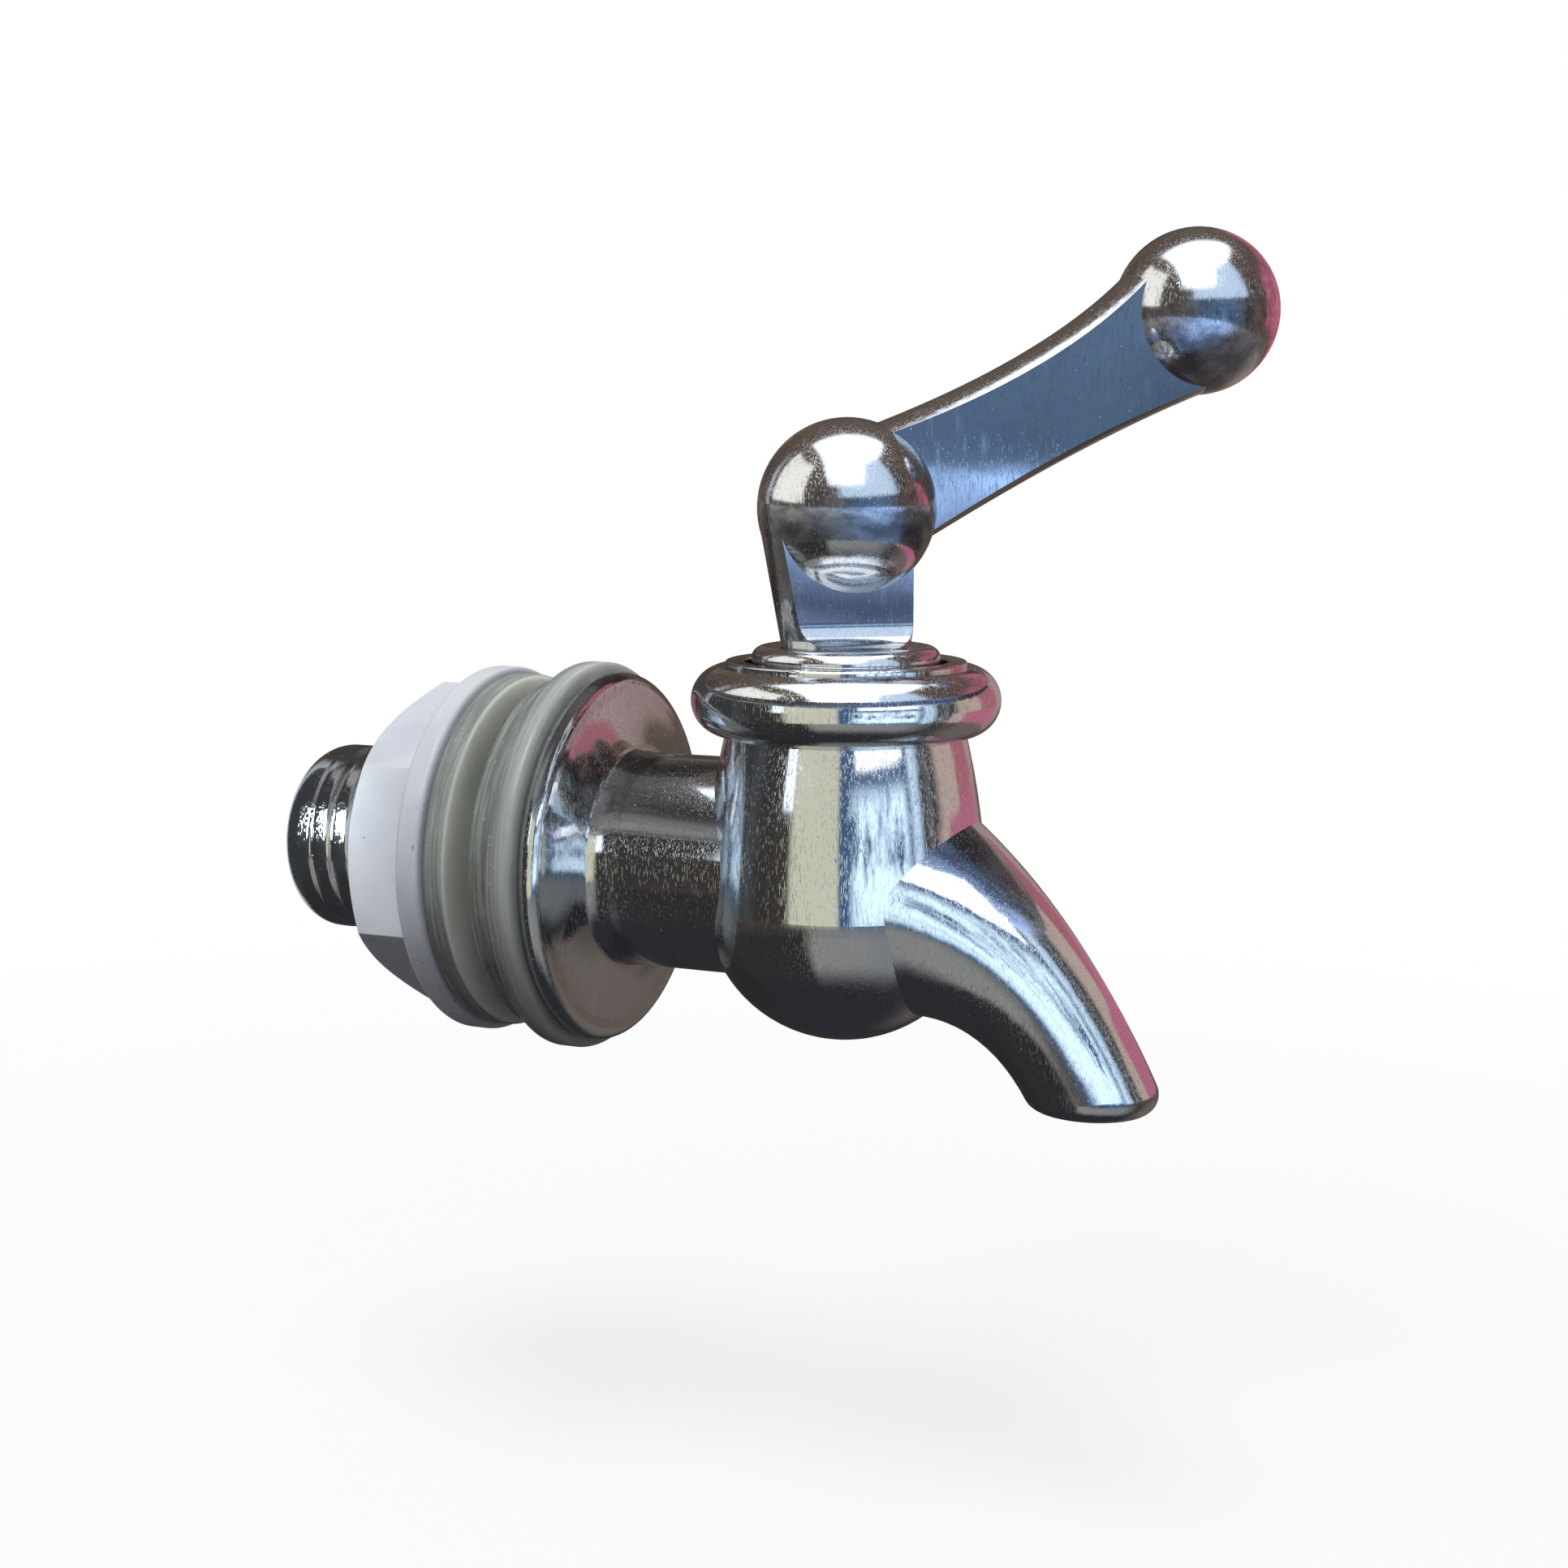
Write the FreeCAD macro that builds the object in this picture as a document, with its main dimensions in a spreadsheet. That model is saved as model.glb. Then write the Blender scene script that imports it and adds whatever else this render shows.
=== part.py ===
import FreeCAD, Part
import Sketcher
import os
import re
from math import atan2, pi, sqrt

# Drinks dispenser tap, in millimetres, +Z up. The origin is the centre of the wall flange's back face.
# +X runs out of the wall along the shank to the spout. The valve axis is vertical.

SIZES = {
    # Threaded shank and wall flange, turned about the X axis
    "shank_radius": (7.9, "crest of the shank's thread, which passes through the gaskets"),
    "thread_root_radius": (7.45, "core of the shank, at the root of its thread"),
    "shank_length": (27.4, "flange back to the free end of the shank"),
    "shank_end_round": (2.2, "rounding of the free end"),
    "inlet_radius": (4.6, "waterway through the shank"),
    "inlet_shoulder": (1.5, "wall between the wide waterway and the valve chamber"),
    "flange_radius": (15.2, "wall flange"),
    "flange_rim": (1.9, "thickness of the flange's round rim"),
    "bell_radius": (9.4, "where the bell of the flange meets the neck's step"),
    "bell_reach": (3.0, "flange back to that step"),
    "neck_step": (0.35, "height of the step"),
    "neck_radius": (8.75, "round neck between the flange and the valve"),
    "neck_blend": (2.4, "length of the hollow between the step and the neck"),
    # Valve barrel, turned about the vertical valve axis
    "axis_reach": (21.5, "flange back to the valve axis"),
    "barrel_top": (11.3, "top shoulder of the barrel"),
    "barrel_top_radius": (9.5, "barrel at its top shoulder"),
    "barrel_radius": (11.2, "widest part of the barrel and radius of its round bottom"),
    "barrel_swell": (60.0, "radius of the barrel's slightly round side"),
    "bulb_height": (-2.0, "centre of the round bottom"),
    "collar_radius": (8.2, "threaded collar that the bonnet ring screws onto"),
    "collar_rise": (3.0, "height of the collar"),
    "chamber_radius": (7.0, "valve chamber"),
    "chamber_floor": (-6.0, "floor of the valve chamber"),
    # Spout: a horn along a curve with three poles, measured from the valve axis
    "spout_root": (4.0, "start of the spout's centre line"),
    "spout_root_drop": (2.0, "depth of that start"),
    "spout_bend_reach": (17.7, "pole where the spout bends"),
    "spout_bend_drop": (5.0, "depth of that pole"),
    "spout_reach": (21.5, "centre of the spout's mouth"),
    "spout_drop": (17.0, "depth of the spout's mouth"),
    "spout_root_radius": (10.2, "horn at its root, inside the barrel"),
    "spout_waist": (4.85, "narrowest part of the horn"),
    "spout_waist_place": (0.75, "place of the waist along the horn, from 0 to 1"),
    "spout_radius": (4.9, "horn at its mouth"),
    "spout_lip": (1.5, "rounding of the mouth's edge"),
    "outlet_radius": (3.5, "waterway through the spout"),
    # Bonnet ring
    "ring_radius": (12.2, "outside of the ring's round bead"),
    "bead_foot_radius": (10.2, "where the bead starts and ends"),
    "bead_height": (5.3, "height of the bead"),
    "land_radius": (9.5, "raised land on top of the ring"),
    "land_rise": (0.45, "height of the land above the bead"),
    "land_round": (0.2, "rounding of the land's edges"),
    "recess_radius": (8.0, "recess in which the handle's disc turns"),
    "recess_depth": (1.6, "depth of the recess"),
    "hub_radius": (6.2, "hub that guides the spindle"),
    "hub_floor": (11.7, "lower end of the hub"),
    # Lever handle, measured in its own plane from the valve axis
    "lever_yaw": (40.0, "lever's direction in the photo, from the spout towards +Y"),
    "spindle_radius": (3.6, "spindle below the disc"),
    "tang_width": (5.6, "flat tang that drives the plug"),
    "tang_thickness": (3.0, "flat tang that drives the plug"),
    "tang_end": (5.5, "lower end of the tang"),
    "disc_radius": (7.45, "base disc of the handle"),
    "disc_top_radius": (6.4, "upper step of the disc"),
    "disc_side": (1.0, "height of the disc's side"),
    "disc_height": (1.85, "height of the whole disc"),
    "stem_radius": (5.1, "stem where it stands on the disc"),
    "stem_front": (4.6, "front of the stem, from the valve axis"),
    "stem_flat": (5.5, "distance between the stem's flats"),
    "stem_flare": (2.0, "hollow rounding at the foot of the flats"),
    "elbow_height": (28.9, "centre of the ball elbow"),
    "elbow_radius": (7.0, "ball elbow"),
    "knob_reach": (29.4, "centre of the ball knob, from the valve axis"),
    "knob_height": (44.4, "centre of the ball knob"),
    "knob_radius": (6.65, "ball knob"),
    "arm_flat": (5.5, "distance between the arm's flats"),
    "arm_bend_reach": (20.0, "pole that bends the arm's centre line down"),
    "arm_bend_height": (38.0, "height of that pole"),
    "arm_root_radius": (5.4, "arm at the centre of the elbow"),
    "arm_waist": (4.45, "narrowest part of the arm"),
    "arm_waist_place": (0.4, "place of the waist along the arm, from 0 to 1"),
    "arm_end_radius": (6.5, "arm at the centre of the knob"),
    # Valve parts inside
    "sleeve_radius": (6.95, "outside of the silicone sleeve"),
    "sleeve_wall": (1.75, "wall of the sleeve"),
    "port_radius": (3.4, "ports of the sleeve and cross hole of the plug"),
    "running_fit": (0.1, "radial clearance of what turns or slides"),
    "seal_section": (1.1, "thickness of the spindle's O-ring"),
    "seal_height": (13.2, "middle of the spindle's O-ring"),
    "washer_thickness": (0.8, "slip washer and bonnet seal"),
    # Gaskets and nut on the shank, behind the flange
    "outer_gasket_radius": (16.0, "rim of the shouldered gasket"),
    "outer_gasket_rim": (2.2, "thickness of its rim"),
    "outer_gasket_back": (14.6, "radius of its shoulder"),
    "outer_gasket_thickness": (4.6, "thickness of the whole gasket"),
    "wall_gap": (2.1, "gap between the gaskets, where the vessel's wall goes"),
    "inner_gasket_radius": (14.75, "plain gasket"),
    "inner_gasket_thickness": (2.0, "plain gasket"),
    "gasket_round": (0.5, "rounding of the gaskets' edges"),
    "gasket_fit": (0.3, "radial clearance of the gaskets on the thread"),
    "nut_flange_radius": (15.3, "round flange of the nut"),
    "nut_flange": (2.1, "thickness of that flange"),
    "nut_round": (0.4, "rounding of its edges"),
    "nut_length": (7.0, "hexagon of the nut"),
    "nut_corner": (13.7, "radius to the hexagon's corners"),
    "nut_face_radius": (11.2, "round face left by the nut's chamfer"),
    "nut_chamfer": (1.7, "length of that chamfer"),
    "nut_turn": (24.2, "turn of the nut's corners in the photo"),
}
HORN_SECTIONS = 7

doc = FreeCAD.newDocument("dispenser_tap")
sheet = doc.addObject("Spreadsheet::Sheet", "dims")
for row, (alias, (value, meaning)) in enumerate(SIZES.items(), start=1):
    sheet.set("A%d" % row, str(value))
    sheet.setAlias("A%d" % row, alias)
    sheet.set("B%d" % row, meaning)
doc.recompute()


def bound(text):
    """Turn size names in an expression into references to the sheet."""
    return re.sub(r"[a-z_]+", lambda m: "dims." + m.group() if m.group() in SIZES else m.group(), text)


def size(text):
    """Value of an expression of the sheet's sizes."""
    value = sheet.evalExpression(bound(text))
    return float(getattr(value, "Value", value))


def bind(obj, **properties):
    """Bind an object's properties to expressions; a dot in a property's path is written as two underscores."""
    for path, text in properties.items():
        obj.setExpression(path.replace("__", "."), bound(text))


def arc_between(start, end, radius):
    """Arc from start to end: a positive radius bulges to the right of the way, a negative one to the left."""
    way = end - start
    half = way.Length / 2
    side = FreeCAD.Vector(way.y, -way.x, 0).normalize()
    reach = sqrt(max(radius * radius - half * half, 0))
    centre = start + way * 0.5 - side * (reach if radius > 0 else -reach)
    circle = Part.Circle(centre, FreeCAD.Vector(0, 0, 1), abs(radius))
    first, last = (start, end) if radius > 0 else (end, start)
    angles = [atan2(p.y - centre.y, p.x - centre.x) for p in (first, last)]
    if angles[1] < angles[0]:
        angles[1] += 2 * pi
    return Part.ArcOfCircle(circle, angles[0], angles[1])


def outline(body, name, corners):
    """Closed outline in the XZ plane. A corner is (across, up), or (across, up, radius) where an arc starts."""
    sketch = body.newObject("Sketcher::SketchObject", name)
    plane = [f for f in body.Origin.OriginFeatures if f.Role == "XZ_Plane"][0]
    sketch.AttachmentSupport = [(plane, "")]
    sketch.MapMode = "FlatFace"
    points = [FreeCAD.Vector(size(c[0]), size(c[1]), 0) for c in corners]
    count = len(corners)
    starts = []
    for i, corner in enumerate(corners):
        after = points[(i + 1) % count]
        if len(corner) == 3:
            radius = size(corner[2])
            sketch.addGeometry(arc_between(points[i], after, radius))
            starts.append(1 if radius > 0 else 2)
        else:
            sketch.addGeometry(Part.LineSegment(points[i], after))
            starts.append(1)
    for i, corner in enumerate(corners):
        before = (i - 1) % count
        sketch.addConstraint(Sketcher.Constraint("Coincident", before, 3 - starts[before], i, starts[i]))
        for kind, value, text in (("DistanceX", points[i].x, corner[0]), ("DistanceY", points[i].y, corner[1])):
            index = sketch.addConstraint(Sketcher.Constraint(kind, -1, 1, i, starts[i], value))
            sketch.setExpression("Constraints[%d]" % index, bound(text))
        if len(corner) == 3:
            index = sketch.addConstraint(Sketcher.Constraint("Radius", i, abs(size(corner[2]))))
            sketch.setExpression("Constraints[%d]" % index, bound("abs(%s)" % corner[2]))
    return sketch


def turned(name, axis, corners):
    """Body turned about its own X axis (H_Axis) or Z axis (V_Axis)."""
    body = doc.addObject("PartDesign::Body", name)
    sketch = outline(body, name + "_outline", corners)
    turning = body.newObject("PartDesign::Revolution", name + "_turning")
    turning.Profile = sketch
    turning.ReferenceAxis = (sketch, [axis])
    turning.Angle = 360
    doc.recompute()
    return body


def extruded(name, length, corners):
    """Body with a constant section in its XZ plane, extruded away from +Y."""
    body = doc.addObject("PartDesign::Body", name)
    sketch = outline(body, name + "_outline", corners)
    pad = body.newObject("PartDesign::Pad", name + "_pad")
    pad.Profile = sketch
    bind(pad, Length=length)
    doc.recompute()
    return body


def cylinder(name, radius, height):
    part = doc.addObject("Part::Cylinder", name)
    bind(part, Radius=radius, Height=height)
    return part


def joined(kind, name, pieces):
    """Part::MultiFuse or Part::MultiCommon of several pieces."""
    made = doc.addObject(kind, name)
    made.Shapes = pieces
    made.Refine = False
    return made


def cut(name, base, tools):
    """Base with all the tools taken away."""
    tool = tools[0] if len(tools) == 1 else joined("Part::MultiFuse", name + "_tools", tools)
    made = doc.addObject("Part::Cut", name)
    made.Base = base
    made.Tool = tool
    made.Refine = False
    return made


def along_x(part):
    part.Placement.Rotation = FreeCAD.Rotation(FreeCAD.Vector(0, 1, 0), 90)


# Tap body: shank, flange, neck, barrel and spout, moulded as one piece

shank = turned("shank_form", "H_Axis", [
    ("-shank_length", "0"),
    ("-shank_length", "thread_root_radius - shank_end_round", "-shank_end_round"),
    ("-shank_length + shank_end_round", "thread_root_radius"),
    ("0", "thread_root_radius"),
    ("0", "flange_radius - flange_rim / 2", "-flange_rim / 2"),
    ("flange_rim / 2", "flange_radius", "-flange_rim / 2"),
    ("flange_rim", "flange_radius - flange_rim / 2"),
    ("flange_rim", "flange_radius - flange_rim * 0.9", "bell_reach * 3.2"),
    ("bell_reach", "bell_radius"),
    ("bell_reach", "bell_radius - neck_step", "neck_blend * 2.5"),
    ("bell_reach + neck_blend", "neck_radius"),
    ("axis_reach", "neck_radius"),
    ("axis_reach", "0"),
])

barrel = turned("barrel_form", "V_Axis", [
    ("0", "bulb_height - barrel_radius", "barrel_radius"),
    ("barrel_radius", "bulb_height", "barrel_swell"),
    ("barrel_top_radius", "barrel_top"),
    ("collar_radius", "barrel_top"),
    ("collar_radius", "barrel_top + collar_rise"),
    ("0", "barrel_top + collar_rise"),
])
bind(barrel, Placement__Base__x="axis_reach")


def horn(name, poles, root, waist, waist_place, end):
    """Horn of round sections along the curve with these poles, narrowest at one place of its length."""
    curve = Part.BezierCurve()
    curve.setPoles(poles)
    rings = []
    for i in range(HORN_SECTIONS):
        t = i / (HORN_SECTIONS - 1)
        wide, reach = (root, waist_place) if t < waist_place else (end, 1 - waist_place)
        radius = waist + (wide - waist) * ((t - waist_place) / reach) ** 2 if reach else waist
        rings.append(Part.Wire(Part.makeCircle(radius, curve.value(t), FreeCAD.Vector(curve.tangent(t)[0]))))
    made = doc.addObject("Part::Feature", name)
    made.Shape = Part.makeLoft(rings, True)
    return made


def spout_horn(name, root, waist, mouth, overrun):
    """Horn along the spout's curve, running past the mouth by overrun."""
    start = FreeCAD.Vector(size("axis_reach + spout_root"), 0, size("-spout_root_drop"))
    bend = FreeCAD.Vector(size("axis_reach + spout_bend_reach"), 0, size("-spout_bend_drop"))
    end = FreeCAD.Vector(size("axis_reach + spout_reach"), 0, size("-spout_drop"))
    end += (end - bend).normalize() * overrun
    return horn(name, [start, bend, end], root, waist, size("spout_waist_place"), mouth)


def spout():
    """Horn cut level at its mouth, with a round lip."""
    mouth_radius = size("spout_radius")
    whole = spout_horn("whole_spout", size("spout_root_radius"), size("spout_waist"), mouth_radius, mouth_radius)
    mouth = size("-spout_drop")
    reach = 8 * mouth_radius
    below = Part.makeBox(reach, reach, reach)
    below.translate(FreeCAD.Vector(size("axis_reach + spout_reach") - reach / 2, -reach / 2, mouth - reach))
    level = whole.Shape.cut(below)
    edges = [e for e in level.Edges if abs(e.BoundBox.ZMin - mouth) < 1e-4 and abs(e.BoundBox.ZMax - mouth) < 1e-4]
    made = doc.addObject("Part::Feature", "spout_form")
    made.Shape = level.makeFillet(size("spout_lip"), edges)
    doc.removeObject(whole.Name)
    return made


inlet_bore = cylinder("inlet_bore", "inlet_radius", "shank_length + axis_reach - chamber_radius - inlet_shoulder")
inlet_port = cylinder("inlet_port", "port_radius", "shank_length + axis_reach")
for bore in (inlet_bore, inlet_port):
    along_x(bore)
    bind(bore, Placement__Base__x="-shank_length")
chamber = cylinder("chamber", "chamber_radius", "barrel_top + collar_rise - chamber_floor + 1")
bind(chamber, Placement__Base__x="axis_reach", Placement__Base__z="chamber_floor")
bore = size("outlet_radius")
outlet_bore = spout_horn("outlet_bore", bore, bore, bore, size("spout_radius") * 2)
tap_form = joined("Part::MultiFuse", "tap_form", [shank, barrel, spout()])
tap_body = cut("tap_body", tap_form, [inlet_bore, inlet_port, chamber, outlet_bore])

# Bonnet ring: screws onto the collar and guides the spindle

ring_top = "barrel_top + bead_height + land_rise"
slot_top = "barrel_top + collar_rise + washer_thickness"
bead_swell = "(ring_radius - bead_foot_radius)"
bonnet_ring = turned("bonnet_ring", "V_Axis", [
    ("collar_radius + running_fit", "barrel_top"),
    ("bead_foot_radius", "barrel_top", "(bead_height ^ 2 / 4 + %s ^ 2) / (2 * %s)" % (bead_swell, bead_swell)),
    ("bead_foot_radius", "barrel_top + bead_height"),
    ("land_radius", "barrel_top + bead_height"),
    ("land_radius", ring_top + " - land_round", "land_round"),
    ("land_radius - land_round", ring_top),
    ("recess_radius + land_round", ring_top, "land_round"),
    ("recess_radius", ring_top + " - land_round"),
    ("recess_radius", ring_top + " - recess_depth"),
    ("spindle_radius + running_fit", ring_top + " - recess_depth"),
    ("spindle_radius + running_fit", "hub_floor"),
    ("hub_radius", "hub_floor"),
    ("hub_radius", slot_top),
    ("collar_radius + running_fit", slot_top),
])
bind(bonnet_ring, Placement__Base__x="axis_reach")

bonnet_seal = turned("bonnet_seal", "V_Axis", [
    ("chamber_radius", "barrel_top + collar_rise"),
    ("collar_radius", "barrel_top + collar_rise"),
    ("collar_radius", slot_top),
    ("chamber_radius", slot_top),
])
bind(bonnet_seal, Placement__Base__x="axis_reach")

recess_floor = ring_top + " - recess_depth"
thrust_washer = turned("thrust_washer", "V_Axis", [
    ("spindle_radius + running_fit", recess_floor),
    ("disc_top_radius", recess_floor),
    ("disc_top_radius", recess_floor + " + washer_thickness"),
    ("spindle_radius + running_fit", recess_floor + " + washer_thickness"),
])
bind(thrust_washer, Placement__Base__x="axis_reach")

# Lever handle, made in its own plane and then turned to its place

disc_floor = recess_floor + " + washer_thickness + running_fit"
disc_top = disc_floor + " + disc_height"
foot = turned("foot_form", "V_Axis", [
    ("0", "hub_floor"),
    ("spindle_radius", "hub_floor"),
    ("spindle_radius", "seal_height - seal_section / 2"),
    ("spindle_radius - seal_section", "seal_height - seal_section / 2"),
    ("spindle_radius - seal_section", "seal_height + seal_section / 2"),
    ("spindle_radius", "seal_height + seal_section / 2"),
    ("spindle_radius", disc_floor),
    ("disc_radius", disc_floor),
    ("disc_radius", disc_floor + " + disc_side", "sqrt((disc_radius - disc_top_radius) ^ 2"
     " + (disc_height - disc_side) ^ 2) * 0.8"),
    ("disc_top_radius", disc_top),
    ("0", disc_top),
])

tang = doc.addObject("Part::Box", "tang_form")
bind(tang, Length="tang_width", Width="tang_thickness", Height="hub_floor - tang_end")
bind(tang, Placement__Base__x="-tang_width / 2", Placement__Base__y="-tang_thickness / 2",
     Placement__Base__z="tang_end")

stem_turning = turned("stem_turning", "V_Axis", [
    ("0", disc_top),
    ("stem_radius", disc_top),
    ("elbow_radius * 0.95", "elbow_height - elbow_radius * 0.31"),
    ("0", "elbow_height - elbow_radius * 0.31"),
])
stem_slab = extruded("stem_slab", "elbow_radius + stem_front", [
    ("-stem_flat / 2 - stem_flare", disc_top),
    ("stem_flat / 2 + stem_flare", disc_top, "-stem_flare"),
    ("stem_flat / 2", disc_top + " + stem_flare"),
    ("stem_flat / 2", "elbow_height"),
    ("-stem_flat / 2", "elbow_height"),
    ("-stem_flat / 2", disc_top + " + stem_flare", "-stem_flare"),
])
stem_slab.Placement.Rotation = FreeCAD.Rotation(FreeCAD.Vector(0, 0, 1), 90)
bind(stem_slab, Placement__Base__x="-elbow_radius")
stem = joined("Part::MultiCommon", "stem_form", [stem_turning, stem_slab])

elbow = doc.addObject("Part::Sphere", "elbow_form")
bind(elbow, Radius="elbow_radius", Placement__Base__z="elbow_height")
knob = doc.addObject("Part::Sphere", "knob_form")
bind(knob, Radius="knob_radius", Placement__Base__x="knob_reach", Placement__Base__z="knob_height")

arm_poles = [(0, size("elbow_height")), (size("arm_bend_reach"), size("arm_bend_height")),
             (size("knob_reach"), size("knob_height"))]
arm_horn = horn("arm_horn", [FreeCAD.Vector(x, 0, z) for x, z in arm_poles],
                size("arm_root_radius"), size("arm_waist"), size("arm_waist_place"), size("arm_end_radius"))
arm = arm_horn
for side, offset in (("left", "arm_flat / 2"), ("right", "-arm_flat / 2 - knob_radius * 3")):
    beside = doc.addObject("Part::Box", "beside_arm_" + side)
    bind(beside, Length="knob_reach * 2", Width="knob_radius * 3", Height="knob_height * 2")
    bind(beside, Placement__Base__x="-elbow_radius * 2", Placement__Base__y=offset)
    arm = cut("arm_flat_" + side, arm, [beside])

lever_handle = joined("Part::MultiFuse", "lever_handle", [foot, tang, stem, elbow, arm, knob])
bind(lever_handle, Placement__Base__x="axis_reach", Placement__Rotation__Angle="lever_yaw")

stem_oring = doc.addObject("Part::Torus", "stem_oring")
bind(stem_oring, Radius1="spindle_radius - seal_section / 2", Radius2="seal_section / 2 - running_fit / 2",
     Placement__Base__x="axis_reach", Placement__Base__z="seal_height")

# Valve plug, driven by the tang, and the silicone sleeve that it turns in

plug_radius = "(sleeve_radius - sleeve_wall - running_fit)"
plug_top = "(hub_floor - running_fit * 2)"
plug_form = turned("plug_form", "V_Axis", [
    ("0", "chamber_floor + running_fit * 2"),
    (plug_radius, "chamber_floor + running_fit * 2"),
    (plug_radius, plug_top),
    ("0", plug_top),
])
cross_hole = cylinder("cross_hole", "port_radius", "sleeve_radius * 2")
cross_hole.Placement.Rotation = FreeCAD.Rotation(FreeCAD.Vector(1, 0, 0), 90)
bind(cross_hole, Placement__Base__y="sleeve_radius")
tang_slot = doc.addObject("Part::Box", "tang_slot")
bind(tang_slot, Length="tang_width + running_fit * 2", Width="tang_thickness + running_fit * 2",
     Height="hub_floor - tang_end + running_fit * 2")
bind(tang_slot, Placement__Base__x="-tang_width / 2 - running_fit", Placement__Base__z="tang_end - running_fit * 2",
     Placement__Base__y="-tang_thickness / 2 - running_fit")
valve_plug = cut("valve_plug", plug_form, [cross_hole, tang_slot])
bind(valve_plug, Placement__Base__x="axis_reach", Placement__Rotation__Angle="lever_yaw")

sleeve_form = turned("sleeve_form", "V_Axis", [
    ("sleeve_radius - sleeve_wall", "chamber_floor"),
    ("sleeve_radius", "chamber_floor"),
    ("sleeve_radius", plug_top),
    ("sleeve_radius - sleeve_wall", plug_top),
])
sleeve_ports = cylinder("sleeve_ports", "port_radius", "sleeve_radius * 2 + 2")
along_x(sleeve_ports)
bind(sleeve_ports, Placement__Base__x="-sleeve_radius - 1")
plug_sleeve = cut("plug_sleeve", sleeve_form, [sleeve_ports])
bind(plug_sleeve, Placement__Base__x="axis_reach")

# Gaskets and nut on the shank

gasket_bore = "shank_radius + gasket_fit"
outer_gasket = turned("outer_gasket", "H_Axis", [
    ("-outer_gasket_thickness", gasket_bore),
    ("-outer_gasket_thickness", "outer_gasket_back - gasket_round", "-gasket_round"),
    ("-outer_gasket_thickness + gasket_round", "outer_gasket_back"),
    ("-outer_gasket_rim", "outer_gasket_back"),
    ("-outer_gasket_rim", "outer_gasket_radius - gasket_round", "-gasket_round"),
    ("-outer_gasket_rim + gasket_round", "outer_gasket_radius"),
    ("-gasket_round", "outer_gasket_radius", "-gasket_round"),
    ("0", "outer_gasket_radius - gasket_round"),
    ("0", gasket_bore),
])

inner_face = "-outer_gasket_thickness - wall_gap"
inner_gasket = turned("inner_gasket", "H_Axis", [
    (inner_face + " - inner_gasket_thickness", gasket_bore),
    (inner_face + " - inner_gasket_thickness", "inner_gasket_radius - gasket_round", "-gasket_round"),
    (inner_face + " - inner_gasket_thickness + gasket_round", "inner_gasket_radius"),
    (inner_face + " - gasket_round", "inner_gasket_radius", "-gasket_round"),
    (inner_face, "inner_gasket_radius - gasket_round"),
    (inner_face, gasket_bore),
])

nut_front = inner_face + " - inner_gasket_thickness"
nut_back = nut_front + " - nut_flange - nut_length"
nut_envelope = turned("nut_envelope", "H_Axis", [
    (nut_front, "0"),
    (nut_back, "0"),
    (nut_back, "nut_face_radius"),
    (nut_back + " + nut_chamfer", "nut_corner"),
    (nut_front, "nut_corner"),
])
hexagon = doc.addObject("Part::Prism", "nut_hexagon")
hexagon.Polygon = 6
bind(hexagon, Circumradius="nut_corner", Height="nut_flange + nut_length")
hexagon.Placement.Rotation = FreeCAD.Rotation(FreeCAD.Vector(1, 0, 0), size("nut_turn")) \
    * FreeCAD.Rotation(FreeCAD.Vector(0, 1, 0), 90) * FreeCAD.Rotation(FreeCAD.Vector(0, 0, 1), 90)
bind(hexagon, Placement__Base__x=nut_back)
nut_head = joined("Part::MultiCommon", "nut_head", [nut_envelope, hexagon])
nut_rim = turned("nut_rim", "H_Axis", [
    (nut_front + " - nut_flange", "0"),
    (nut_front + " - nut_flange", "nut_flange_radius - nut_round", "-nut_round"),
    (nut_front + " - nut_flange + nut_round", "nut_flange_radius"),
    (nut_front + " - nut_round", "nut_flange_radius", "-nut_round"),
    (nut_front, "nut_flange_radius - nut_round"),
    (nut_front, "0"),
])
nut_form = joined("Part::MultiFuse", "nut_form", [nut_head, nut_rim])
nut_bore = cylinder("nut_bore", "thread_root_radius + running_fit", "nut_flange + nut_length + 2")
along_x(nut_bore)
bind(nut_bore, Placement__Base__x=nut_back + " - 1")
shank_nut = cut("shank_nut", nut_form, [nut_bore])

# Every feature has to be sound before anything is written

PIECES = [tap_body, bonnet_ring, bonnet_seal, thrust_washer, lever_handle, stem_oring, valve_plug,
          plug_sleeve, outer_gasket, inner_gasket, shank_nut]
doc.recompute()
for obj in doc.Objects:
    if "Invalid" in obj.State or "Error" in obj.State:
        raise RuntimeError("feature failed: " + obj.Name)
os.makedirs("parts", exist_ok=True)
for piece in PIECES:
    shape = piece.Shape
    if shape.isNull() or not shape.isValid() or len(shape.Solids) != 1:
        raise RuntimeError("bad shape: " + piece.Label)
    shape.exportStep("parts/%s.step" % piece.Label)
    print("%-16s %9.1f mm3" % (piece.Label, shape.Volume))
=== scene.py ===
import bmesh
import bpy
from math import atan2, cos, hypot, pi, radians, sqrt, tau
from mathutils import Matrix, Vector


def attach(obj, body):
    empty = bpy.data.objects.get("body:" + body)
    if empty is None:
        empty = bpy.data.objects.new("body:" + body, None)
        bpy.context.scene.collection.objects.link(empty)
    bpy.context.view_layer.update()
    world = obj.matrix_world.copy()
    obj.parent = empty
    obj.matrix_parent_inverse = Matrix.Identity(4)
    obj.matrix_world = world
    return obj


# Drinks dispenser tap in chrome plate, with silicone gaskets and a white nut. Lengths are in metres.
# +X runs out of the wall along the shank, and +Z is up along the valve's axis.

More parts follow.
